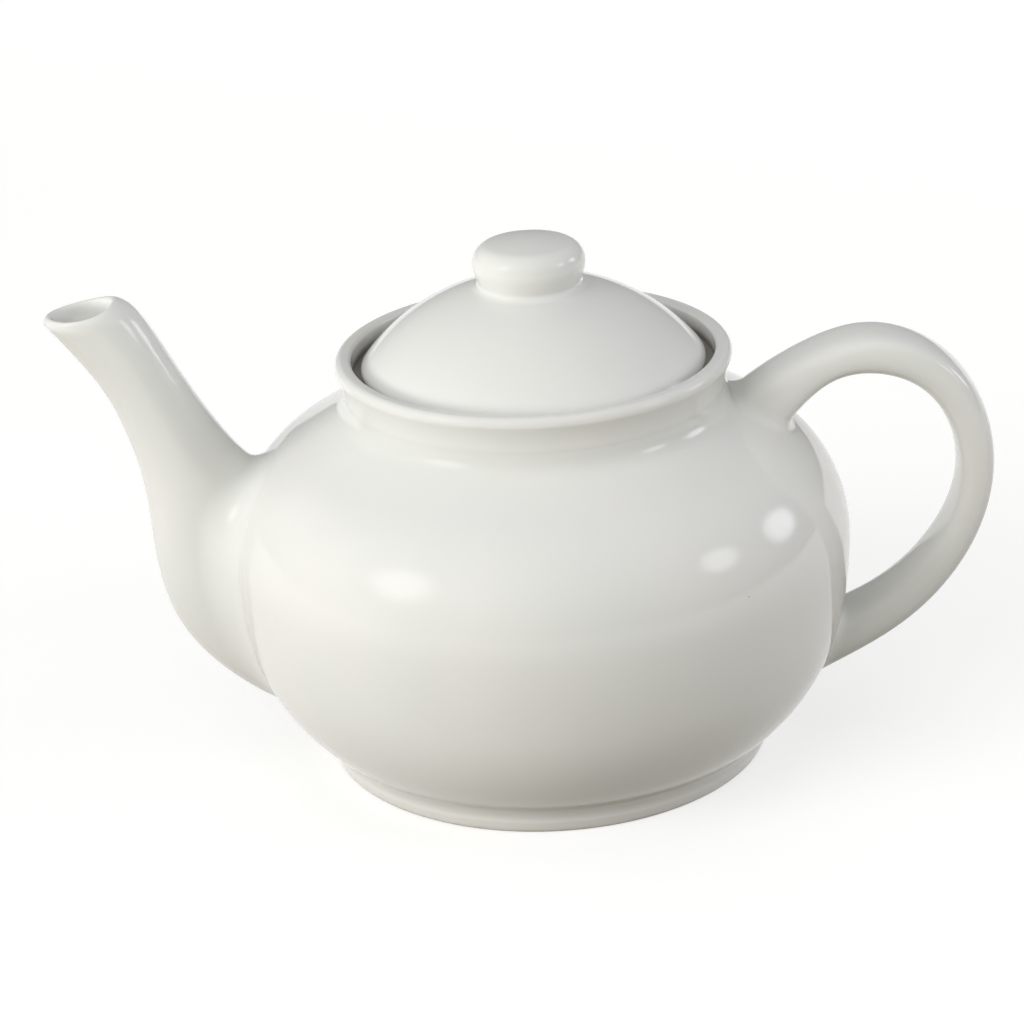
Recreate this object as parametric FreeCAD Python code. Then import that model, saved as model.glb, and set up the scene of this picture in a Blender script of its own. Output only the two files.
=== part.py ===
# Round ceramic teapot: body, foot ring, collar, spout and handle luted into one pot, and a loose lid.
import FreeCAD
import Part
import math
import os
from FreeCAD import Vector

# Sizes are in millimetres and degrees. The origin is on the pot's axis at the table.
# The spout points to -X and the handle to +X.

# Foot ring
foot_height = 5.4
foot_width = 8.0
foot_overhang = 1.2
foot_taper = 1.4
foot_edge_round = 1.2

# Body, a shell turned about Z
body_radius = 75.0
belly_height = 53.2
flank_radius = 94.4
flank_turn = 12.0
belly_radius = 46.0
shoulder_radius = 32.1
shoulder_turn = 58.9
body_wall = 4.0
floor_thickness = 5.0

# Collar, with the gallery ledge that the lid sits on
neck_radius = 45.6
neck_root_round = 6.0
neck_rise = 9.2
lip_overhang = 1.8
lip_round = 2.4
lip_turn = 29.0
rim_width = 4.0
rim_inner_round = 1.0
gallery_depth = 5.2
gallery_width = 5.9

# Lid dome and its vent
lid_seat_gap = 0.2
lid_side_gap = 2.2
lid_edge_round = 1.8
lid_edge_turn = 48.0
lid_rise = 20.6
lid_dome_radius = 65.0
lid_wall = 4.0
vent_diameter = 3.0
vent_offset = 22.0

# Locating flange under the lid
flange_gap = 0.8
flange_wall = 3.5
flange_depth = 9.0
flange_edge_round = 1.2

# Knob, on a flat pad at the top of the lid
knob_root_radius = 12.9
knob_neck_radius = 12.1
knob_neck_height = 1.8
knob_neck_hollow = 0.3
knob_radius = 13.4
knob_widest_height = 5.6
knob_height = 11.5
knob_shoulder_round = 4.6
knob_shoulder_turn = 77.0

# Spout sections from root to mouth. Each has its reach beyond the body's widest radius, its rise above the
# widest level, its half depth in the pot's middle plane, its half width across it, and its tilt.
spout_sections = (
    (-27.5, -13.4, 32.3, 20.0, 86.0),
    (-9.0, -7.2, 31.5, 20.0, 80.0),
    (2.2, 1.6, 24.2, 18.0, 60.0),
    (8.4, 19.9, 13.2, 13.0, 28.0),
    (14.9, 36.2, 9.6, 10.0, 27.0),
    (22.3, 51.4, 9.1, 9.2, 33.0),
    (30.8, 63.3, 11.4, 8.8, 3.0),
)
spout_wall = 3.0
spout_rim_round = 1.2

# Strainer pierced through the body wall behind the spout, in staggered rows
strainer_diameter = 5.0
strainer_pitch = 8.5
strainer_rows = 5
strainer_columns = 3

# Handle sections from the upper root to the lower one. Each has its reach beyond the body's widest radius,
# its rise above the widest level, its half thickness and its half width.
handle_sections = (
    (-24.5, 27.5, 7.6, 10.0),
    (-8.1, 41.0, 4.9, 8.8),
    (2.2, 44.3, 5.0, 8.8),
    (20.3, 38.4, 5.0, 8.6),
    (30.6, 12.2, 4.3, 8.4),
    (23.9, -7.5, 4.4, 8.4),
    (11.2, -21.2, 4.9, 8.8),
    (-7.7, -32.4, 7.8, 10.5),
    (-23.0, -32.0, 8.5, 11.0),
)

# Turned pieces have their seam at the back, clear of the spout and the handle.
seam_turn = 90.0
axis_foot = Vector(0, 0, 0)
upward = Vector(0, 0, 1)
sideways = Vector(0, 1, 0)


def at(radius, height):
    return Vector(radius, 0, height)


def polar(centre, radius, degrees):
    turn = math.radians(degrees)
    return centre + at(radius * math.cos(turn), radius * math.sin(turn))


def angle_from(centre, point):
    return math.degrees(math.atan2(point.z - centre.z, point.x - centre.x))


def line(start, end):
    return Part.LineSegment(start, end).toShape()


def arc(centre, radius, start, end):
    points = [polar(centre, radius, degrees) for degrees in (start, (start + end) / 2, end)]
    return Part.Arc(*points).toShape()


def bowed(start, end, bow):
    # An arc that stands off its chord by the bow, to the left of the way from start to end.
    chord = end - start
    left = at(-chord.z, chord.x).normalize()
    return Part.Arc(start, (start + end) * 0.5 + left * bow, end).toShape()


def bow_of_turn(start, end, degrees):
    return (end - start).Length / 2 * math.tan(math.radians(degrees) / 4)


def first(edge):
    return edge.Vertexes[0].Point


def last(edge):
    return edge.Vertexes[-1].Point


def turned(edges):
    # The edges run in order; a straight edge from the last back to the first closes the outline.
    outline = Part.Wire(edges + [line(last(edges[-1]), first(edges[0]))])
    solid = Part.Face(outline).revolve(axis_foot, upward, 360)
    solid.rotate(axis_foot, upward, seam_turn)
    return solid


def chain(*points):
    return [line(start, end) for start, end in zip(points, points[1:])]


# Places that several pieces share
flank_centre = at(body_radius - flank_radius, belly_height)
belly_centre = polar(flank_centre, flank_radius - belly_radius, -flank_turn)
shoulder_centre = at(body_radius - shoulder_radius, belly_height)
shoulder_normal = polar(at(0, 0), 1, shoulder_turn)
neck_root_reach = neck_radius + neck_root_round - shoulder_centre.x
neck_level = shoulder_centre.z + (
    shoulder_radius + neck_root_round - neck_root_reach * shoulder_normal.x
) / shoulder_normal.z
neck_root_centre = at(neck_radius + neck_root_round, neck_level)
neck_root = neck_root_centre - shoulder_normal * neck_root_round
rim_height = neck_level + neck_rise
lip_radius = neck_radius + lip_overhang
throat_radius = lip_radius - rim_width
gallery_radius = throat_radius - gallery_width
gallery_height = rim_height - gallery_depth
lid_base = gallery_height + lid_seat_gap
lid_radius = throat_radius - lid_side_gap
lid_top = lid_base + lid_rise
flange_radius = gallery_radius - flange_gap
flange_inner_radius = flange_radius - flange_wall


def body_side(inset, bottom):
    # The round part of the body's side from bottom to shoulder, set in from its outer face.
    belly_start = -math.degrees(math.asin((belly_centre.z - bottom) / (belly_radius - inset)))
    return [
        arc(belly_centre, belly_radius - inset, belly_start, -flank_turn),
        arc(flank_centre, flank_radius - inset, -flank_turn, 0),
        arc(shoulder_centre, shoulder_radius - inset, 0, shoulder_turn),
    ]


def filled_body():
    side = body_side(0, foot_height)
    return turned(
        [line(at(0, foot_height), first(side[0]))]
        + side
        + [line(last(side[-1]), neck_root)]
        + [arc(neck_root_centre, neck_root_round, 180 + shoulder_turn, 180)]
        + chain(at(neck_radius, neck_level), at(0, neck_level))
    )


def body_hollow():
    floor = foot_height + floor_thickness
    side = body_side(body_wall, floor)
    shoulder_end = last(side[-1])
    slope = shoulder_normal.x / shoulder_normal.z
    throat_start = at(gallery_radius, shoulder_end.z + (shoulder_end.x - gallery_radius) * slope)
    return turned(
        [line(at(0, floor), first(side[0]))]
        + side
        + chain(shoulder_end, throat_start, at(gallery_radius, neck_level), at(0, neck_level))
    )


def strainer_holes():
    root_rise = spout_sections[1][1]
    holes = []
    for row in range(strainer_rows):
        columns = strainer_columns - row % 2
        height = belly_height + root_rise + (row - (strainer_rows - 1) / 2) * strainer_pitch
        for column in range(columns):
            side = (column - (columns - 1) / 2) * strainer_pitch
            start = Vector(-body_radius, side, height)
            holes.append(Part.makeCylinder(strainer_diameter / 2, body_radius / 2, start, Vector(1, 0, 0)))
    return holes


def make_body():
    return body_outside.cut(body_hollow()).cut(strainer_holes())


def make_foot_ring():
    outer = first(body_side(0, foot_height)[0]).x + foot_overhang
    inner = outer - foot_width
    edge_centre = at(outer - foot_edge_round, foot_height - foot_edge_round)
    side_top = polar(edge_centre, foot_edge_round, 0)
    return turned(
        chain(at(inner, foot_height), at(inner, 0), at(outer - foot_taper, 0), side_top)
        + [arc(edge_centre, foot_edge_round, 0, 90)]
    )


def make_collar():
    neck = at(neck_radius, neck_level)
    lip_centre = at(lip_radius - lip_round, rim_height - lip_round)
    lip_start = polar(lip_centre, lip_round, -lip_turn)
    round_centre = at(throat_radius + rim_inner_round, rim_height - rim_inner_round)
    return turned(
        [
            bowed(neck, lip_start, bow_of_turn(neck, lip_start, lip_turn)),
            arc(lip_centre, lip_round, -lip_turn, 90),
            line(polar(lip_centre, lip_round, 90), polar(round_centre, rim_inner_round, 90)),
            arc(round_centre, rim_inner_round, 90, 180),
        ]
        + chain(
            polar(round_centre, rim_inner_round, 180),
            at(throat_radius, gallery_height),
            at(gallery_radius, gallery_height),
            at(gallery_radius, neck_level),
        )
    )


def section(centre, across, half_depth, half_width):
    # A circle of unit radius, stretched and placed as an ellipse whose first half axis lies along across.
    along = across.cross(sideways)
    stretch = FreeCAD.Matrix(
        across.x * half_depth, 0, along.x, centre.x,
        across.y * half_depth, half_width, along.y, centre.y,
        across.z * half_depth, 0, along.z, centre.z,
        0, 0, 0, 1,
    )
    circle = Part.Circle(axis_foot, upward, 1).toShape()
    return Part.Wire(circle.transformGeometry(stretch).Edges)


def spout_section(reach, rise, half_depth, half_width, tilt):
    centre = at(-(body_radius + reach), belly_height + rise)
    return section(centre, polar(at(0, 0), 1, tilt), half_depth, half_width)


def make_spout():
    outside = Part.makeLoft([spout_section(*row) for row in spout_sections], True)
    mouth = max(outside.Edges, key=lambda edge: edge.CenterOfMass.z)
    bore_rows = []
    for reach, rise, half_depth, half_width, tilt in spout_sections:
        bore_rows.append((reach, rise, half_depth - spout_wall, half_width - spout_wall, tilt))
    bore = Part.makeLoft([spout_section(*row) for row in bore_rows], True)
    return outside.makeFillet(spout_rim_round, [mouth]).cut(bore).cut(body_outside)


def make_handle():
    centres = [at(body_radius + reach, belly_height + rise) for reach, rise, _, _ in handle_sections]
    wires = []
    for index, (_, _, half_thickness, half_width) in enumerate(handle_sections):
        along = centres[min(index + 1, len(centres) - 1)] - centres[max(index - 1, 0)]
        across = at(-along.z, along.x).normalize()
        wires.append(section(centres[index], across, half_thickness, half_width))
    return Part.makeLoft(wires, True).cut(body_outside)


def make_lid():
    edge_centre = at(lid_radius - lid_edge_round, lid_base + lid_edge_round)
    dome_edge = polar(edge_centre, lid_edge_round, lid_edge_turn)
    pad_edge = at(knob_root_radius, lid_top)
    half_chord = (dome_edge - pad_edge).Length / 2
    drop = math.sqrt(lid_dome_radius**2 - half_chord**2)
    inward = at(pad_edge.z - dome_edge.z, dome_edge.x - pad_edge.x).normalize()
    dome_centre = (dome_edge + pad_edge) * 0.5 - inward * drop
    dome_start = angle_from(dome_centre, pad_edge)
    dome_end = angle_from(dome_centre, dome_edge)
    under_radius = lid_dome_radius - lid_wall
    under_edge = math.degrees(math.acos((flange_inner_radius - dome_centre.x) / under_radius))
    under_top = math.degrees(math.asin((lid_top - lid_wall - dome_centre.z) / under_radius))
    lid = turned(
        chain(at(0, lid_top), pad_edge)
        + [
            arc(dome_centre, lid_dome_radius, dome_start, dome_end),
            arc(edge_centre, lid_edge_round, lid_edge_turn, -90),
        ]
        + chain(
            polar(edge_centre, lid_edge_round, -90),
            at(flange_inner_radius, lid_base),
            polar(dome_centre, under_radius, under_edge),
        )
        + [arc(dome_centre, under_radius, under_edge, under_top)]
        + chain(polar(dome_centre, under_radius, under_top), at(0, lid_top - lid_wall))
    )
    return lid.cut(Part.makeCylinder(vent_diameter / 2, lid_rise, Vector(0, vent_offset, lid_base), upward))


def make_flange():
    bottom = lid_base - flange_depth
    outer_centre = at(flange_radius - flange_edge_round, bottom + flange_edge_round)
    inner_centre = at(flange_inner_radius + flange_edge_round, bottom + flange_edge_round)
    return turned(
        chain(at(flange_inner_radius, lid_base), polar(inner_centre, flange_edge_round, 180))
        + [arc(inner_centre, flange_edge_round, 180, 270)]
        + chain(polar(inner_centre, flange_edge_round, 270), polar(outer_centre, flange_edge_round, 270))
        + [arc(outer_centre, flange_edge_round, 270, 360)]
        + chain(polar(outer_centre, flange_edge_round, 0), at(flange_radius, lid_base))
    )


def make_knob():
    root = at(knob_root_radius, lid_top)
    neck = at(knob_neck_radius, lid_top + knob_neck_height)
    widest = at(knob_radius, lid_top + knob_widest_height)
    shoulder = widest - at(knob_shoulder_round, 0)
    crown_edge = polar(shoulder, knob_shoulder_round, knob_shoulder_turn)
    crown_rise = lid_top + knob_height - crown_edge.z
    crown_radius = (crown_edge.x**2 + crown_rise**2) / (2 * crown_rise)
    crown_centre = at(0, lid_top + knob_height - crown_radius)
    swell = 2 * angle_from(neck, widest) - 180
    return turned(
        chain(at(0, lid_top), root)
        + [
            bowed(root, neck, knob_neck_hollow),
            bowed(neck, widest, bow_of_turn(neck, widest, swell)),
            arc(shoulder, knob_shoulder_round, 0, knob_shoulder_turn),
            arc(crown_centre, crown_radius, angle_from(crown_centre, crown_edge), 90),
        ]
    )


body_outside = filled_body()
pieces = {
    "body": make_body(),
    "foot_ring": make_foot_ring(),
    "collar": make_collar(),
    "spout": make_spout(),
    "handle": make_handle(),
    "lid": make_lid(),
    "lid_flange": make_flange(),
    "lid_knob": make_knob(),
}
os.makedirs("parts", exist_ok=True)
for name, shape in pieces.items():
    shape.exportStep(f"parts/{name}.step")
    print(f"{name}: {len(shape.Solids)} solid, valid {shape.isValid()}, {shape.Volume / 1000:.1f} cm3")
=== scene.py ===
import math

import bmesh
import bpy
import numpy as np
from mathutils import Matrix, Vector


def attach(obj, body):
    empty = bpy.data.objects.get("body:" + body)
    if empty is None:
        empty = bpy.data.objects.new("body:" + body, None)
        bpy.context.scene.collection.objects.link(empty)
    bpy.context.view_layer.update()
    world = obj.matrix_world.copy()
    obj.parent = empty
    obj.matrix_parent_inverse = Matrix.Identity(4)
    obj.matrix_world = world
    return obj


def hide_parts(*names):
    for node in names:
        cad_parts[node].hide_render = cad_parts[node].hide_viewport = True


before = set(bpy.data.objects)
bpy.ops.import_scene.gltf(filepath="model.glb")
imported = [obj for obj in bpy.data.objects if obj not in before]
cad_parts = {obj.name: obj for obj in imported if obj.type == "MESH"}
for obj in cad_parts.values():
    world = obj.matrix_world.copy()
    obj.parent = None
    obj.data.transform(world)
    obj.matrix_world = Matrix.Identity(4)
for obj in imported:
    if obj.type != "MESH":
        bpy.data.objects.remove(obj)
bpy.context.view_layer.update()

mm = 0.001  # profiles and sections are written in millimetres
roundSteps = 224  # faces round a turned piece
print("teapot: frame loaded")


# Shaders: a socket that can be used in plain sums
class Wire:
    def __init__(self, tree, socket=None):
        self.tree = tree
        self.socket = socket

    def plug(self, socket, value):
        if isinstance(value, Wire):
            self.tree.links.new(value.socket, socket)
        else:
            socket.default_value = value

    def add(self, kind, settings, values, output=0):
        node = self.tree.nodes.new(kind)
        for name, value in settings.items():
            setattr(node, name, value)
        for name, value in values.items():
            self.plug(node.inputs[name], value)
        return Wire(self.tree, node.outputs[output]) if node.outputs else node

    def sums(self, operation, *values):
        return self.add("ShaderNodeMath", {"operation": operation}, dict(enumerate(values)))

    def __add__(self, other):
        return self.sums("ADD", self, other)

    def __radd__(self, other):
        return self.sums("ADD", other, self)

    def __sub__(self, other):
        return self.sums("SUBTRACT", self, other)

    def __rsub__(self, other):
        return self.sums("SUBTRACT", other, self)

    def __mul__(self, other):
        return self.sums("MULTIPLY", self, other)

    def __rmul__(self, other):
        return self.sums("MULTIPLY", other, self)

    def step(self, low, high):
        ends = {0: self, 1: low, 2: high, 3: 0.0, 4: 1.0}
        return self.add("ShaderNodeMapRange", {"interpolation_type": "SMOOTHSTEP"}, ends)

    def tint(self, plain, toned):
        # this value blends two colours
        return self.add("ShaderNodeMix", {"data_type": "RGBA"}, {0: self, 6: plain, 7: toned}, 2)


def newMaterial(name):
    material = bpy.data.materials.new(name)
    material.use_nodes = True
    material.node_tree.nodes.clear()
    return material, Wire(material.node_tree)


glazeLook = {
    "white": (0.80, 0.795, 0.765, 1),
    "thick": (0.765, 0.772, 0.745, 1),  # where the glaze lies thicker
    "pooledAndShade": (0.66, 0.67, 0.63, 1),  # glaze pooling in the creases at neck and foot, darkened there as painted shade
    "speck": (0.36, 0.31, 0.25, 1),
    "clay": (0.70, 0.655, 0.585, 1),
    "clayDark": (0.62, 0.57, 0.50, 1),
    "seat": (0.25, 0.22, 0.18, 1),  # painted shade of the dark gap between the lid's edge and the collar
    "roughness": 0.04,
    "unevenness": 0.00022,
    "speckScale": 62.0,
}


def glazeMaterial(name, bareBelow=None):
    look = glazeLook
    material, wire = newMaterial(name)
    place = wire.add("ShaderNodeTexCoord", {}, {}, "Object")
    drift = wire.add(
        "ShaderNodeTexNoise", {}, {"Vector": place, "Scale": 21.0, "Detail": 2.0, "Roughness": 0.45}
    )
    cloud = wire.add("ShaderNodeTexNoise", {}, {"Vector": place, "Scale": 95.0, "Detail": 3.0})
    peel = wire.add("ShaderNodeTexNoise", {}, {"Vector": place, "Scale": 520.0, "Detail": 1.0})
    axis = wire.add("ShaderNodeSeparateXYZ", {}, {"Vector": place}, 2)
    flat = wire.add("ShaderNodeVectorMath", {"operation": "MULTIPLY"}, {0: place, 1: (1, 1, 0)})
    radius = wire.add("ShaderNodeVectorMath", {"operation": "LENGTH"}, {0: flat}, "Value")
    # fine iron specks, few of the cells have one
    cells = wire.add("ShaderNodeTexVoronoi", {}, {"Vector": place, "Scale": look["speckScale"]}, "Distance")
    pick = wire.add("ShaderNodeTexVoronoi", {}, {"Vector": place, "Scale": look["speckScale"]}, "Color")
    chance = wire.add("ShaderNodeSeparateColor", {}, {"Color": pick}, 0)
    speck = (1 - cells.step(0.008, 0.021)) * chance.step(0.86, 0.87)
    # heights and radii in metres, where glaze pools in the creases with painted shade, and the painted shade
    # in the gap round the lid
    neckPoolAndShade = axis.step(0.0862, 0.0905) * (1 - axis.step(0.0915, 0.0945))
    neckPoolAndShade = neckPoolAndShade * (1 - radius.step(0.0495, 0.0535))
    footPoolAndShade = axis.step(0.0030, 0.0052) * (1 - axis.step(0.0058, 0.0088))
    footPoolAndShade = footPoolAndShade * (1 - radius.step(0.0565, 0.0590))
    tone = drift.step(0.30, 0.72).tint(look["white"], look["thick"])
    # painted shade in the neck and foot creases, mixed with the tone of pooling glaze
    tone = (0.5 * neckPoolAndShade + 0.45 * footPoolAndShade).tint(tone, look["pooledAndShade"])
    # painted shade: the deep gap round the lid's edge is darkened in the colour
    seat = radius.step(0.0362, 0.0372) * (1 - radius.step(0.04345, 0.0440))
    seat = seat * axis.step(0.0955, 0.0962) * (1 - axis.step(0.0970, 0.0990))
    tone = (0.85 * seat).tint(tone, look["seat"])
    tone = (0.55 * speck).tint(tone, look["speck"])
    rough = look["roughness"] + 0.05 * cloud.step(0.35, 0.75) + 0.10 * speck
    if bareBelow is not None:
        bare = 1 - (axis + 0.0006 * cloud).step(bareBelow, bareBelow + 0.0007)
        clay = peel.step(0.3, 0.7).tint(look["clay"], look["clayDark"])
        tone = bare.tint(tone, clay)
        rough = rough + 0.55 * bare
    height = drift + 0.10 * cloud + 0.012 * peel
    bump = wire.add(
        "ShaderNodeBump", {}, {"Strength": 0.55, "Distance": look["unevenness"], "Height": height}
    )
    shader = wire.add(
        "ShaderNodeBsdfPrincipled",
        {},
        {
            "Base Color": tone,
            "Roughness": rough,
            "Normal": bump,
            "IOR": 1.52,
            "Subsurface Weight": 0.08,
            "Subsurface Radius": (1.0, 0.92, 0.75),
            "Subsurface Scale": 0.002,
        },
    )
    wire.add("ShaderNodeOutputMaterial", {}, {"Surface": shader})
    return material


whiteGlaze = glazeMaterial("white_glaze")
footGlaze = glazeMaterial("foot_glaze", bareBelow=0.0008)
print("teapot: glaze mixed")


# Outlines, as radius and height from the table up
def polar(centre, radius, degrees):
    turn = math.radians(degrees)
    return centre[0] + radius * math.cos(turn), centre[1] + radius * math.sin(turn)


def arcLine(centre, radius, start, end, steps):
    return [polar(centre, radius, start + (end - start) * step / steps) for step in range(steps + 1)]


def straight(start, end, steps):
    return [
        (start[0] + (end[0] - start[0]) * step / steps, start[1] + (end[1] - start[1]) * step / steps)
        for step in range(steps + 1)
    ]


def bowed(start, end, bow, steps):
    # stands off its chord by the bow, to the left of the way from start to end
    length = math.dist(start, end)
    left = (start[1] - end[1]) / length, (end[0] - start[0]) / length
    points = []
    for step in range(steps + 1):
        part = step / steps
        lift = 4 * bow * part * (1 - part)
        points.append(
            (
                start[0] + (end[0] - start[0]) * part + left[0] * lift,
                start[1] + (end[1] - start[1]) * part + left[1] * lift,
            )
        )
    return points


def softLine(start, bend, end, steps):
    # leaves start towards the bend and reaches end from it
    points = []
    for step in range(steps + 1):
        part = step / steps
        shares = ((1 - part) ** 2, 2 * part * (1 - part), part**2)
        points.append(tuple(sum(a * b[side] for a, b in zip(shares, (start, bend, end))) for side in (0, 1)))
    return points


def joined(*runs):
    # one outline from runs that follow each other, without doubled points
    points = []
    for run in runs:
        for point in run:
            if not points or math.dist(points[-1], point) > 1e-4:
                points.append(point)
    return points


def dress(obj, body, node, material, sharp=32):
    mesh = obj.data
    mesh.validate()
    mesh.polygons.foreach_set("use_smooth", [True] * len(mesh.polygons))
    mesh.set_sharp_from_angle(angle=math.radians(sharp))
    mesh.materials.clear()
    mesh.materials.append(material)
    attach(obj, body)
    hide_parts(node)
    print("teapot:", obj.name, len(mesh.polygons), "faces")
    return obj


def newPiece(name, points, faces):
    mesh = bpy.data.meshes.new(name)
    mesh.from_pydata([tuple(point) for point in points], [], faces)
    shape = bmesh.new()
    shape.from_mesh(mesh)
    bmesh.ops.recalc_face_normals(shape, faces=shape.faces)
    shape.to_mesh(mesh)
    shape.free()
    obj = bpy.data.objects.new(name, mesh)
    bpy.context.scene.collection.objects.link(obj)
    return obj


def turnedPiece(name, outline, onAxis):
    # turns an outline about the pot's axis; on the axis its two ends close in a point
    points = []
    rings = []
    for radius, height in outline:
        if radius < 1e-6:
            rings.append([len(points)])
            points.append((0, 0, height * mm))
            continue
        rings.append(list(range(len(points), len(points) + roundSteps)))
        for step in range(roundSteps):
            turn = 2 * math.pi * step / roundSteps
            points.append((radius * mm * math.cos(turn), radius * mm * math.sin(turn), height * mm))
    faces = []
    pairs = list(zip(rings, rings[1:])) + ([] if onAxis else [(rings[-1], rings[0])])
    for low, high in pairs:
        for step in range(roundSteps):
            after = (step + 1) % roundSteps
            if len(low) == 1:
                faces.append((low[0], high[after], high[step]))
            elif len(high) == 1:
                faces.append((low[step], low[after], high[0]))
            else:
                faces.append((low[step], low[after], high[after], high[step]))
    return newPiece(name, points, faces)


def pierced(obj, centres, direction, radius, reach):
    # cuts round holes along a direction through a piece
    shape = bmesh.new()
    turn = Vector((0, 0, 1)).rotation_difference(Vector(direction)).to_matrix().to_4x4()
    for centre in centres:
        place = Matrix.Translation(Vector(centre) * mm) @ turn
        size = {"radius1": radius * mm, "radius2": radius * mm, "depth": reach * mm}
        bmesh.ops.create_cone(shape, cap_ends=True, segments=28, matrix=place, **size)
    mesh = bpy.data.meshes.new("drill")
    shape.to_mesh(mesh)
    shape.free()
    drill = bpy.data.objects.new("drill", mesh)
    bpy.context.scene.collection.objects.link(drill)
    cut = obj.modifiers.new("holes", "BOOLEAN")
    cut.operation = "DIFFERENCE"
    cut.solver = "EXACT"
    cut.object = drill
    bpy.context.view_layer.update()
    done = bpy.data.meshes.new_from_object(obj.evaluated_get(bpy.context.evaluated_depsgraph_get()))
    obj.modifiers.clear()
    obj.data = done
    bpy.data.objects.remove(drill)


# Body: a low round belly, flat shoulder and a short curve up into the collar
body = {
    "radius": 75.0,
    "bellyHeight": 53.2,
    "flankRadius": 94.4,
    "flankTurn": 12.0,
    "bellyRadius": 46.0,
    "shoulderRadius": 32.1,
    "shoulderTurn": 58.9,
    "wall": 4.0,
    "footHeight": 5.4,
    "floor": 5.0,
    "neckRadius": 45.6,
    "neckRound": 6.0,
    "galleryRadius": 37.5,
    "strainerRadius": 2.5,
    "strainerPitch": 8.5,
    "strainerHeight": 46.0,
}
flankCentre = (body["radius"] - body["flankRadius"], body["bellyHeight"])
bellyCentre = polar(flankCentre, body["flankRadius"] - body["bellyRadius"], -body["flankTurn"])
shoulderCentre = (body["radius"] - body["shoulderRadius"], body["bellyHeight"])
shoulderNormal = polar((0, 0), 1, body["shoulderTurn"])
neckReach = body["neckRadius"] + body["neckRound"] - shoulderCentre[0]
neckLevel = shoulderCentre[1] + (
    body["shoulderRadius"] + body["neckRound"] - neckReach * shoulderNormal[0]
) / shoulderNormal[1]
neckCentre = (body["neckRadius"] + body["neckRound"], neckLevel)


def bodySide(inset, bottom, fine):
    start = -math.degrees(math.asin((bellyCentre[1] - bottom) / (body["bellyRadius"] - inset)))
    return joined(
        arcLine(bellyCentre, body["bellyRadius"] - inset, start, -body["flankTurn"], 30 * fine),
        arcLine(flankCentre, body["flankRadius"] - inset, -body["flankTurn"], 0, 14 * fine),
        arcLine(shoulderCentre, body["shoulderRadius"] - inset, 0, body["shoulderTurn"], 26 * fine),
    )


def makeBody():
    outer = bodySide(0, body["footHeight"], 2)
    floorTop = body["footHeight"] + body["floor"]
    inner = bodySide(body["wall"], floorTop, 1)
    slope = shoulderNormal[0] / shoulderNormal[1]
    throat = (body["galleryRadius"], inner[-1][1] + (inner[-1][0] - body["galleryRadius"]) * slope)
    neckRoot = polar(neckCentre, body["neckRound"], 180 + body["shoulderTurn"])
    outline = joined(
        straight((0, body["footHeight"]), outer[0], 8),
        outer,
        straight(outer[-1], neckRoot, 14),
        arcLine(neckCentre, body["neckRound"], 180 + body["shoulderTurn"], 180, 14),
        straight((body["neckRadius"], neckLevel), (body["galleryRadius"], neckLevel), 3),
        straight((body["galleryRadius"], neckLevel), throat, 4),
        straight(throat, inner[-1], 4),
        inner[::-1],
        straight(inner[0], (0, floorTop), 8),
    )
    obj = turnedPiece("pot_body", outline, True)
    holes = []
    for row in range(5):
        columns = 3 - row % 2
        for column in range(columns):
            side = (column - (columns - 1) / 2) * body["strainerPitch"]
            holes.append((-65, side, body["strainerHeight"] + (row - 2) * body["strainerPitch"]))
    pierced(obj, holes, (1, 0, 0), body["strainerRadius"], 34)
    return dress(obj, "pot", "body", whiteGlaze)


foot = {
    "outer": 55.43,
    "width": 8.0,
    "taper": 1.4,
    "flare": 3.2,
    "base": 0.8,
    "meetTurn": -50.0,  # where on the belly's round the flare runs out
    "skin": 0.02,
    "bite": 1.0,
}


def makeFoot():
    high = body["footHeight"]
    inner = foot["outer"] - foot["width"]
    # the side flares softly on to the body, and ends inside its wall
    turn = foot["meetTurn"]
    meet = polar(bellyCentre, body["bellyRadius"] + foot["skin"], turn)
    hidden = polar(bellyCentre, body["bellyRadius"] - foot["bite"], turn)
    bend = (foot["outer"], meet[1] + (meet[0] - foot["outer"]) / math.tan(math.radians(turn)))
    outline = joined(
        straight((inner, high), (inner, foot["base"]), 5),
        arcLine((inner + foot["base"], foot["base"]), foot["base"], 180, 270, 6),
        arcLine((foot["outer"] - foot["taper"] - foot["base"], foot["base"]), foot["base"], 270, 350, 6),
        softLine((foot["outer"] - 0.2, foot["flare"]), bend, meet, 14),
        straight(hidden, (inner + foot["width"] / 2, high + foot["bite"]), 4),
    )
    return dress(turnedPiece("foot_band", outline, False), "pot", "foot_ring", footGlaze)


collar = {
    "rise": 9.2,
    "overhang": 1.8,
    "lip": 1.8,
    "lipTurn": 18.0,
    "rimWidth": 4.0,
    "inner": 1.0,
    "galleryDepth": 5.2,
    "corner": 0.5,
}
rimHeight = neckLevel + collar["rise"]
lipRadius = body["neckRadius"] + collar["overhang"]
throatRadius = lipRadius - collar["rimWidth"]
galleryHeight = rimHeight - collar["galleryDepth"]


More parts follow.
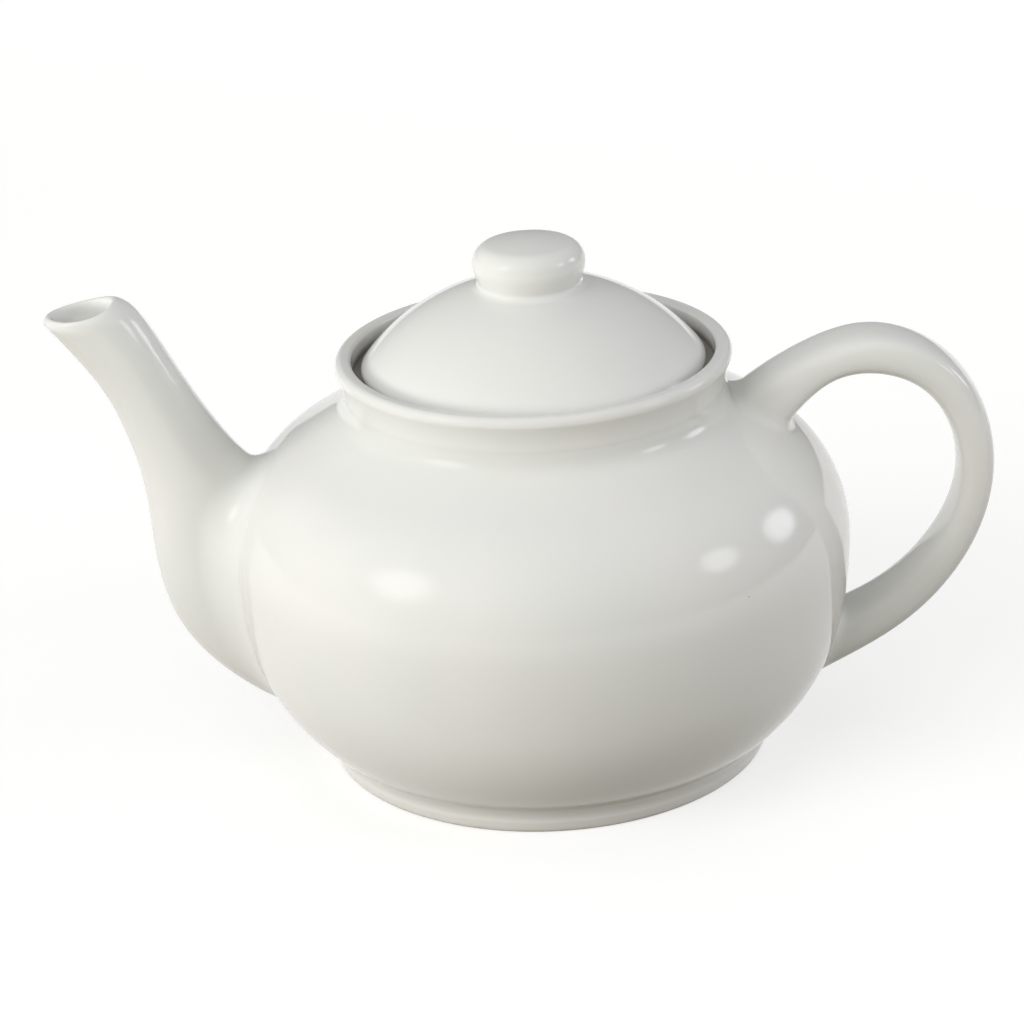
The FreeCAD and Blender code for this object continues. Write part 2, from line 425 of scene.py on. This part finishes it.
def makeCollar():
    neck = (body["neckRadius"], neckLevel)
    lip = (lipRadius - collar["lip"], rimHeight - collar["lip"])
    lipStart = polar(lip, collar["lip"], -collar["lipTurn"])
    bow = math.dist(neck, lipStart) / 2 * math.tan(math.radians(collar["lipTurn"]) / 4)
    edge = (throatRadius + collar["inner"], rimHeight - collar["inner"])
    corner = collar["corner"]
    outline = joined(
        bowed(neck, lipStart, bow, 12),
        arcLine(lip, collar["lip"], -collar["lipTurn"], 90, 16),
        arcLine(edge, collar["inner"], 90, 180, 8),
        straight((throatRadius, rimHeight - collar["inner"]), (throatRadius, galleryHeight + corner), 4),
        arcLine((throatRadius - corner, galleryHeight + corner), corner, 0, -90, 4),
        straight((throatRadius - corner, galleryHeight), (body["galleryRadius"] + corner, galleryHeight), 4),
        arcLine((body["galleryRadius"] + corner, galleryHeight - corner), corner, 90, 180, 4),
        straight((body["galleryRadius"], galleryHeight - corner), (body["galleryRadius"], neckLevel), 3),
        straight((body["galleryRadius"], neckLevel), neck, 3),
    )[:-1]
    return dress(turnedPiece("neck_collar", outline, False), "pot", "collar", whiteGlaze)


makeBody()
makeFoot()
makeCollar()
print("teapot: pot turned")


# Spout and handle run through sections and flow into the body's side
def throughRows(rows, places):
    # natural cubic curve through rows, spaced by the way between their centres
    rows = np.array(rows, float)
    way = np.concatenate(([0], np.cumsum(np.linalg.norm(np.diff(rows[:, :2], axis=0), axis=1))))
    way = way / way[-1]
    count = len(way)
    gaps = np.diff(way)
    lean = np.eye(count)
    pull = np.zeros_like(rows)
    for row in range(1, count - 1):
        lean[row, row - 1 : row + 2] = gaps[row - 1], 2 * (gaps[row - 1] + gaps[row]), gaps[row]
        ahead = (rows[row + 1] - rows[row]) / gaps[row]
        behind = (rows[row] - rows[row - 1]) / gaps[row - 1]
        pull[row] = 6 * (ahead - behind)
    bend = np.linalg.solve(lean, pull)
    span = np.clip(np.searchsorted(way, places, side="right") - 1, 0, count - 2)
    after = (places - way[span])[..., None]
    before = (way[span + 1] - places)[..., None]
    gap = gaps[span][..., None]
    return (
        (bend[span] * before**3 + bend[span + 1] * after**3) / (6 * gap)
        + (rows[span] / gap - bend[span] * gap / 6) * before
        + (rows[span + 1] / gap - bend[span + 1] * gap / 6) * after
    )


def bodyGap(points):
    # how far points stand off the body's outer face, and the way straight off it
    radius = np.hypot(points[..., 0], points[..., 1])
    flat = np.stack((radius, points[..., 2]), -1)
    out = {}
    for key, centre, size in (
        ("shoulder", shoulderCentre, body["shoulderRadius"]),
        ("flank", flankCentre, body["flankRadius"]),
        ("belly", bellyCentre, body["bellyRadius"]),
    ):
        ray = flat - np.array(centre)
        length = np.linalg.norm(ray, axis=-1)
        out[key] = (length - size, ray / np.maximum(length, 1e-9)[..., None], ray)
    steep = np.array(shoulderNormal)
    cone = (out["shoulder"][2] @ steep - body["shoulderRadius"], np.broadcast_to(steep, flat.shape))
    upper = flat[..., 1] >= body["bellyHeight"]
    shoulderRay, flankRay = out["shoulder"][2], out["flank"][2]
    past = np.arctan2(shoulderRay[..., 1], shoulderRay[..., 0]) > math.radians(body["shoulderTurn"])
    low = np.arctan2(flankRay[..., 1], flankRay[..., 0]) < -math.radians(body["flankTurn"])
    gap = np.where(
        upper,
        np.where(past, cone[0], out["shoulder"][0]),
        np.where(low, out["belly"][0], out["flank"][0]),
    )
    lean = np.where(
        upper[..., None],
        np.where(past[..., None], cone[1], out["shoulder"][1]),
        np.where(low[..., None], out["belly"][1], out["flank"][1]),
    )
    around = points[..., :2] / np.maximum(radius, 1e-9)[..., None]
    away = np.concatenate((around * lean[..., :1], lean[..., 1:]), -1)
    return gap, away


def sectionPoints(rows, places, turns, thinner=0.0, square=0.0):
    # rows hold centre x, z, half depth as x, z, and half width
    row = throughRows(rows, places)
    depth = row[..., 2:4]
    length = np.linalg.norm(depth, axis=-1)
    depth = depth * ((length - thinner) / length)[..., None]
    width = row[..., 4] - thinner
    swing = np.cos(turns) * (1 + square * np.sin(turns) ** 2)
    lie = np.sin(turns) * (1 + square * np.cos(turns) ** 2)
    return np.stack(
        (row[..., 0] + depth[..., 0] * swing, width * lie, row[..., 1] + depth[..., 1] * swing), -1
    )


def crossing(rows, turns, inward, **shape):
    # the place along the sections where each line has gone a set depth into the wall
    start, end, depth = inward
    places = np.linspace(start, end, 2400)
    grid = np.broadcast_to(places[:, None], (len(places), len(turns)))
    gap, away = bodyGap(sectionPoints(rows, grid, np.broadcast_to(turns, grid.shape), **shape))
    inside = gap < -depth
    return places[np.where(inside.any(axis=0), inside.argmax(axis=0), len(places) - 1)]


def flowed(points, blend, outward):
    # eases the last stretch before the body so that it runs out along the body's face
    gap, away = bodyGap(points)
    across = outward - np.sum(outward * away, -1, keepdims=True) * away
    across = across / np.maximum(np.linalg.norm(across, axis=-1, keepdims=True), 1e-9)
    near = np.clip(1 - np.maximum(gap, 0) / blend, 0, 1)
    push = blend * (1 - np.sqrt(1 - near**2)) + 6 * np.maximum(-gap, 0)  # then dives flat under the skin
    moved = points + across * push[..., None]
    for turn in range(3):
        newGap, newAway = bodyGap(moved)
        moved = moved - ((newGap - gap) * (push > 0))[..., None] * newAway
    return moved


def faceWay(points):
    # outward directions over a grid of rings
    along = np.gradient(points, axis=0)
    around = np.roll(points, -1, axis=1) - np.roll(points, 1, axis=1)
    way = np.cross(around, along)
    way = way / np.maximum(np.linalg.norm(way, axis=-1, keepdims=True), 1e-9)
    middle = points.mean(axis=1, keepdims=True)
    return np.where(np.sum(way * (points - middle), -1).mean() < 0, -way, way)


def ringPiece(name, rings, closed):
    # skins a stack of rings; open ends get a middle point
    count = rings.shape[1]
    points = (rings.reshape(-1, 3) * mm).tolist()
    faces = []
    stack = list(range(len(rings)))
    pairs = list(zip(stack, stack[1:])) + ([(stack[-1], 0)] if closed else [])
    for low, high in pairs:
        for step in range(count):
            after = (step + 1) % count
            faces.append((low * count + step, low * count + after, high * count + after, high * count + step))
    if not closed:
        for ring in (0, len(rings) - 1):
            points.append((rings[ring].mean(axis=0) * mm).tolist())
            for step in range(count):
                faces.append((len(points) - 1, ring * count + step, ring * count + (step + 1) % count))
    return newPiece(name, points, faces)


spout = {
    # reach beyond the belly, rise over it, half depth, half width, tilt
    "sections": (
        (-27.5, -13.4, 32.3, 12.8, 86.0),
        (-9.0, -7.2, 31.5, 12.8, 80.0),
        (2.2, 1.6, 24.2, 12.2, 60.0),
        (8.4, 19.9, 13.2, 11.3, 28.0),
        (14.9, 36.2, 9.6, 10.0, 27.0),
        (22.3, 51.4, 9.1, 9.2, 33.0),
        (30.8, 63.3, 11.4, 8.8, 3.0),
    ),
    "wall": 3.0,
    "lip": 1.5,
    "lipExtra": 3.2,  # the lip is thicker and rounder on the side towards the pot
    "mouth": 0.982,  # share of the way at which the lip starts
    "lipSwell": 2.3,  # how much more the lip stands up towards the pot
    "lipDrop": 2.2,  # and how much lower it starts there
    "blend": 3.6,
    "blendSides": 6.2,  # it flows wider at the two sides than above and below
    "around": 128,
    "rings": 170,
}


def makeSpout():
    rows = []
    for reach, rise, halfDepth, halfWidth, tilt in spout["sections"]:
        across = polar((0, 0), halfDepth, tilt)
        rows.append((-(body["radius"] + reach), body["bellyHeight"] + rise, *across, halfWidth))
    turns = np.arange(spout["around"]) * 2 * math.pi / spout["around"]
    part = np.linspace(0, 1, spout["rings"])[:, None]
    part = 1 - (1 - part) ** 1.8  # closer rings towards the body
    grid = np.broadcast_to(turns, (spout["rings"], spout["around"]))
    potSide = 0.5 + 0.5 * np.cos(turns)
    lip = (spout["lip"] * (1 + spout["lipSwell"] * potSide))[:, None]
    mouth = 1 - (1 - spout["mouth"]) * (1 + spout["lipDrop"] * potSide)
    blend = spout["blend"] + spout["blendSides"] * np.sin(turns) ** 2
    up = np.array((-math.sin(math.radians(3)), 0, math.cos(math.radians(3))))
    shells = []
    # the bore opens like a funnel just inside the lip
    funnel = 1.9 * np.exp(-(((part - 0.09) / 0.06) ** 2)) - 0.9 * np.exp(-((part / 0.04) ** 2))
    for thinner, depth, extra in ((0.0, 0.45, 0.0), (spout["wall"], 0.6, funnel)):
        end = crossing(rows, turns, (0.96, 0.0, depth), thinner=thinner)
        places = mouth + (end - mouth) * part
        shells.append(sectionPoints(rows, places, grid, thinner=thinner + extra))
    outer, inner = shells
    inner[..., 0] -= spout["lipExtra"] * potSide * np.exp(-(part**2) / 0.012)
    outer = flowed(outer, blend, faceWay(outer))
    middle = (outer[0] + inner[0]) / 2
    half = (outer[0] - inner[0]) / 2
    # towards the pot the lip carries on the way the back of the spout runs
    back = outer[0] - outer[1]
    back = back / np.linalg.norm(back, axis=-1, keepdims=True)
    up = up + (back - up) * potSide[:, None]
    rim = [
        middle + half * math.cos(turn) + up * lip * math.sin(turn)
        for turn in np.linspace(0, math.pi, 11)[1:-1]
    ]
    rings = np.concatenate((outer[::-1], np.array(rim), inner))
    return dress(ringPiece("spout_shell", rings, True), "pot", "spout", whiteGlaze, 50)


handle = {
    # reach beyond the belly, rise over it, half thickness, half width
    "sections": (
        (-24.5, 27.5, 7.6, 10.0),
        (-8.1, 41.0, 4.9, 8.8),
        (2.2, 44.3, 5.0, 8.8),
        (20.3, 38.4, 5.0, 8.6),
        (30.6, 12.2, 4.3, 8.4),
        (23.9, -7.5, 4.4, 8.4),
        (11.2, -21.2, 4.9, 8.8),
        (-7.7, -31.2, 5.9, 10.0),
        (-23.0, -37.0, 8.0, 10.6),
    ),
    "blend": 3.0,
    "square": 0.24,  # fuller corners than an ellipse
    "around": 72,
    "rings": 220,
}


def makeHandle():
    places = [(body["radius"] + row[0], body["bellyHeight"] + row[1]) for row in handle["sections"]]
    rows = []
    for index, (centre, row) in enumerate(zip(places, handle["sections"])):
        before = places[max(index - 1, 0)]
        after = places[min(index + 1, len(places) - 1)]
        way = (after[0] - before[0], after[1] - before[1])
        length = math.hypot(*way)
        rows.append((*centre, -way[1] / length * row[2], way[0] / length * row[2], row[3]))
    turns = np.arange(handle["around"]) * 2 * math.pi / handle["around"]
    full = handle["square"]
    top = crossing(rows, turns, (0.5, 0.0, 0.4), square=full)
    base = crossing(rows, turns, (0.5, 1.0, 0.4), square=full)
    part = np.linspace(0, 1, handle["rings"])[:, None]
    part = part - 0.145 * np.sin(2 * math.pi * part)  # closer rings at both roots
    grid = np.broadcast_to(turns, (handle["rings"], handle["around"]))
    rings = sectionPoints(rows, top + (base - top) * part, grid, square=full)
    rings = flowed(rings, handle["blend"], faceWay(rings))
    return dress(ringPiece("handle_loop", rings, False), "pot", "handle", whiteGlaze, 50)


makeSpout()
makeHandle()
print("teapot: spout and handle drawn")


# Lid: dome with a rolled edge, flange below, low round knob
lid = {
    "seat": 0.2,
    "side": 2.2,
    "edge": 1.8,
    "edgeTurn": 38.0,
    "rise": 20.6,
    "dome": 50.0,
    "wall": 4.0,
    "vent": 1.5,
    "ventPlace": 22.0,
}
flange = {"gap": 0.8, "wall": 3.5, "depth": 9.0, "edge": 1.2}
knob = {
    "root": 12.9,
    "neck": 12.2,
    "neckHeight": 1.5,
    "radius": 13.4,
    "widest": 6.1,
    "height": 11.5,
    "shoulder": 4.6,
    "shoulderTurn": 77.0,
    "spread": 14.6,  # where the knob's root has run out on the dome
}
lidBase = galleryHeight + lid["seat"]
lidRadius = throatRadius - lid["side"]
lidTop = lidBase + lid["rise"]
flangeRadius = body["galleryRadius"] - flange["gap"]
flangeInner = flangeRadius - flange["wall"]


def domePlace():
    edge = (lidRadius - lid["edge"], lidBase + lid["edge"])
    domeEdge = polar(edge, lid["edge"], lid["edgeTurn"])
    padEdge = (knob["root"], lidTop)
    half = math.dist(domeEdge, padEdge) / 2
    drop = math.sqrt(lid["dome"] ** 2 - half**2)
    out = ((padEdge[1] - domeEdge[1]) / (2 * half), (domeEdge[0] - padEdge[0]) / (2 * half))
    centre = tuple((domeEdge[side] + padEdge[side]) / 2 - out[side] * drop for side in (0, 1))
    turns = [
        math.degrees(math.atan2(spot[1] - centre[1], spot[0] - centre[0])) for spot in (padEdge, domeEdge)
    ]
    return edge, centre, turns


def makeLid():
    edge, centre, (start, end) = domePlace()
    under = lid["dome"] - lid["wall"]
    underEdge = math.degrees(math.acos((flangeInner - centre[0]) / under))
    underTop = math.degrees(math.asin((lidTop - lid["wall"] - centre[1]) / under))
    outline = joined(
        straight((0, lidTop), (knob["root"], lidTop), 6),
        arcLine(centre, lid["dome"], start, end, 44),
        arcLine(edge, lid["edge"], lid["edgeTurn"], -90, 16),
        straight((edge[0], lidBase), (flangeInner, lidBase), 5),
        straight((flangeInner, lidBase), polar(centre, under, underEdge), 4),
        arcLine(centre, under, underEdge, underTop, 24),
        straight(polar(centre, under, underTop), (0, lidTop - lid["wall"]), 6),
    )
    obj = turnedPiece("lid_dome", outline, True)
    pierced(obj, [(0, lid["ventPlace"], lidTop - 3)], (0, 0, 1), lid["vent"], 26)
    return dress(obj, "lid", "lid", whiteGlaze)


def makeFlange():
    bottom = lidBase - flange["depth"]
    outline = joined(
        straight((flangeInner, lidBase), (flangeInner, bottom + flange["edge"]), 6),
        arcLine((flangeInner + flange["edge"], bottom + flange["edge"]), flange["edge"], 180, 270, 8),
        arcLine((flangeRadius - flange["edge"], bottom + flange["edge"]), flange["edge"], 270, 360, 8),
        straight((flangeRadius, bottom + flange["edge"]), (flangeRadius, lidBase), 6),
    )
    return dress(turnedPiece("lid_skirt", outline, False), "lid", "lid_flange", whiteGlaze)


def makeKnob():
    neck = (knob["neck"], lidTop + knob["neckHeight"])
    widest = (knob["radius"], lidTop + knob["widest"])
    shoulder = (widest[0] - knob["shoulder"], widest[1])
    crownEdge = polar(shoulder, knob["shoulder"], knob["shoulderTurn"])
    crownRise = lidTop + knob["height"] - crownEdge[1]
    crownRadius = (crownEdge[0] ** 2 + crownRise**2) / (2 * crownRise)
    crown = (0, lidTop + knob["height"] - crownRadius)
    crownTurn = math.degrees(math.atan2(crownEdge[1] - crown[1], crownEdge[0]))
    edge, dome, turns = domePlace()
    spreadTurn = math.acos((knob["spread"] - dome[0]) / lid["dome"])
    spread = (knob["spread"], dome[1] + lid["dome"] * math.sin(spreadTurn) - 0.04)
    bendRadius = knob["neck"] - 0.3
    bend = (bendRadius, spread[1] + (knob["spread"] - bendRadius) / math.tan(spreadTurn))
    outline = joined(
        straight((0, lidTop - 2.0), (spread[0] - 1.0, spread[1] - 1.2), 4),
        softLine(spread, bend, neck, 14),
        softLine(neck, (widest[0], widest[1] - 1.9), widest, 12),
        arcLine(shoulder, knob["shoulder"], 0, knob["shoulderTurn"], 20),
        arcLine(crown, crownRadius, crownTurn, 90, 16),
    )
    return dress(turnedPiece("knob_cap", outline, True), "lid", "lid_knob", whiteGlaze)


makeLid()
makeFlange()
makeKnob()
print("teapot: lid turned")


# Studio: pale floor, soft lamps, and the camera
studio = {
    "floorHalf": 4.0,
    "floorFade": (0.50, 1.05),  # the floor goes to plain white between these ways from the pot
    "floorTone": (0.50, 0.50, 0.49, 1),
    "floorGlow": 0.60,
    "bounceTone": (0.15, 0.12, 0.05, 1),  # what the floor throws back on the pot
    "roomShade": (0.24, 0.24, 0.25, 1),
    "roomLit": (0.54, 0.54, 0.535, 1),
    "roomSide": (-0.80, -0.42, 0.43),  # the room is brightest this way
    # soft windows of the room: the way to each, half angles of its core and of its fade, and tone
    "windows": (
        ((-0.74, -0.46, 0.49), 4.0, 15.0, (2.3, 2.3, 2.25, 1)),
        ((0.91, 0.26, 0.32), 4.0, 10.5, (3.4, 3.5, 3.8, 1)),
        ((0.86, -0.25, 0.45), 3.0, 10.0, (2.8, 2.85, 3.0, 1)),
    ),
    # place in metres, width, height, watts, tint; they only fill, the windows give the gloss
    "lamps": {
        "left": ((-1.28, -0.64, 0.14), 1.20, 0.60, 13.8, (1.0, 0.995, 0.98)),
        "high": ((-0.72, -0.95, 0.85), 1.00, 0.70, 5.2, (1.0, 1.0, 0.99)),
        "front": ((0.20, -1.20, 0.75), 0.80, 0.50, 1.2, (1.0, 1.0, 0.99)),
        "back": ((0.30, 1.35, 0.22), 1.20, 0.60, 6.5, (1.0, 1.0, 0.99)),
        "right": ((1.25, -0.30, 0.42), 0.70, 0.50, 4.4, (0.97, 0.98, 1.0)),
    },
}


def makeFloor():
    shape = bmesh.new()
    bmesh.ops.create_grid(shape, x_segments=8, y_segments=8, size=studio["floorHalf"])
    mesh = bpy.data.meshes.new("floor")
    shape.to_mesh(mesh)
    shape.free()
    material, wire = newMaterial("pale_floor")
    path = wire.add("ShaderNodeLightPath", {}, {}, "Is Camera Ray")
    glossy = wire.add("ShaderNodeLightPath", {}, {}, "Is Glossy Ray")
    through = wire.add("ShaderNodeLightPath", {}, {}, "Is Transmission Ray")
    seen = path.sums("MAXIMUM", path, path.sums("MAXIMUM", glossy, through))
    matt = wire.add("ShaderNodeBsdfDiffuse", {}, {"Color": studio["floorTone"]})
    bounce = wire.add("ShaderNodeBsdfDiffuse", {}, {"Color": studio["bounceTone"]})
    glow = wire.add("ShaderNodeEmission", {}, {"Color": (1, 1, 1, 1), "Strength": studio["floorGlow"]})
    both = wire.add("ShaderNodeAddShader", {}, {0: matt, 1: glow})
    place = wire.add("ShaderNodeTexCoord", {}, {}, "Object")
    away = wire.add("ShaderNodeVectorMath", {"operation": "LENGTH"}, {0: place}, "Value")
    white = wire.add("ShaderNodeEmission", {}, {"Color": (1, 1, 1, 1), "Strength": 1.0})
    faded = wire.add("ShaderNodeMixShader", {}, {0: away.step(*studio["floorFade"]), 1: both, 2: white})
    mixed = wire.add("ShaderNodeMixShader", {}, {0: seen, 1: bounce, 2: faded})
    wire.add("ShaderNodeOutputMaterial", {}, {"Surface": mixed})
    mesh.materials.append(material)
    obj = bpy.data.objects.new("floor", mesh)
    bpy.context.scene.collection.objects.link(obj)


def makeRoom():
    world = bpy.data.worlds.new("room")
    world.use_nodes = True
    world.node_tree.nodes.clear()
    bpy.context.scene.world = world
    wire = Wire(world.node_tree)
    way = wire.add("ShaderNodeTexCoord", {}, {}, "Generated")
    dot = {"operation": "DOT_PRODUCT"}
    side = wire.add("ShaderNodeVectorMath", dot, {0: way, 1: studio["roomSide"]}, "Value")
    tone = side.step(-0.75, 1.0).tint(studio["roomShade"], studio["roomLit"])
    for aim, core, fade, glow in studio["windows"]:
        near = wire.add("ShaderNodeVectorMath", dot, {0: way, 1: Vector(aim).normalized()}, "Value")
        near = near.step(math.cos(math.radians(fade)), math.cos(math.radians(core)))
        tone = wire.add(
            "ShaderNodeMix", {"data_type": "RGBA", "blend_type": "ADD"}, {0: near, 6: tone, 7: glow}, 2
        )
    room = wire.add("ShaderNodeBackground", {}, {"Color": tone, "Strength": 1.0})
    white = wire.add("ShaderNodeBackground", {}, {"Color": (1, 1, 1, 1), "Strength": 1.0})
    path = wire.add("ShaderNodeLightPath", {}, {}, "Is Camera Ray")
    mixed = wire.add("ShaderNodeMixShader", {}, {0: path, 1: room, 2: white})
    wire.add("ShaderNodeOutputWorld", {}, {"Surface": mixed})


def makeLamps():
    aim = Vector((0, 0, 0.06))
    for name, (place, width, height, watts, tint) in studio["lamps"].items():
        lamp = bpy.data.lights.new(name, "AREA")
        lamp.shape = "RECTANGLE"
        lamp.size = width
        lamp.size_y = height
        lamp.energy = watts
        lamp.color = tint
        obj = bpy.data.objects.new(name, lamp)
        obj.location = place
        obj.visible_glossy = False
        obj.rotation_euler = (aim - Vector(place)).to_track_quat("-Z", "Y").to_euler()
        bpy.context.scene.collection.objects.link(obj)


view = {
    "place": (0.0, -0.6912, 0.3534),
    "pitch": 0.4023,
    "yaw": -0.0100,
    "roll": -0.0508,
    "focal": 3084.0,
    "frame": 1024,
    "sensor": 36,
}


def makeCamera():
    pitch, yaw, roll = view["pitch"], view["yaw"], view["roll"]
    ahead = Vector((math.sin(yaw) * math.cos(pitch), math.cos(yaw) * math.cos(pitch), -math.sin(pitch)))
    level = ahead.cross(Vector((0, 0, 1))).normalized()
    above = level.cross(ahead)
    right = math.cos(roll) * level + math.sin(roll) * above
    upright = math.cos(roll) * above - math.sin(roll) * level
    lens = bpy.data.cameras.new("view")
    lens.sensor_width = view["sensor"]
    lens.lens = view["focal"] / view["frame"] * view["sensor"]
    lens.clip_start = 0.01
    obj = bpy.data.objects.new("view", lens)
    turn = Matrix((right, upright, -ahead)).transposed()
    obj.matrix_world = Matrix.Translation(view["place"]) @ turn.to_4x4()
    bpy.context.scene.collection.objects.link(obj)
    bpy.context.scene.camera = obj


makeFloor()
makeRoom()
makeLamps()
makeCamera()
bpy.context.scene.view_settings.view_transform = "Standard"
print("teapot: studio set")

bpy.context.view_layer.update()
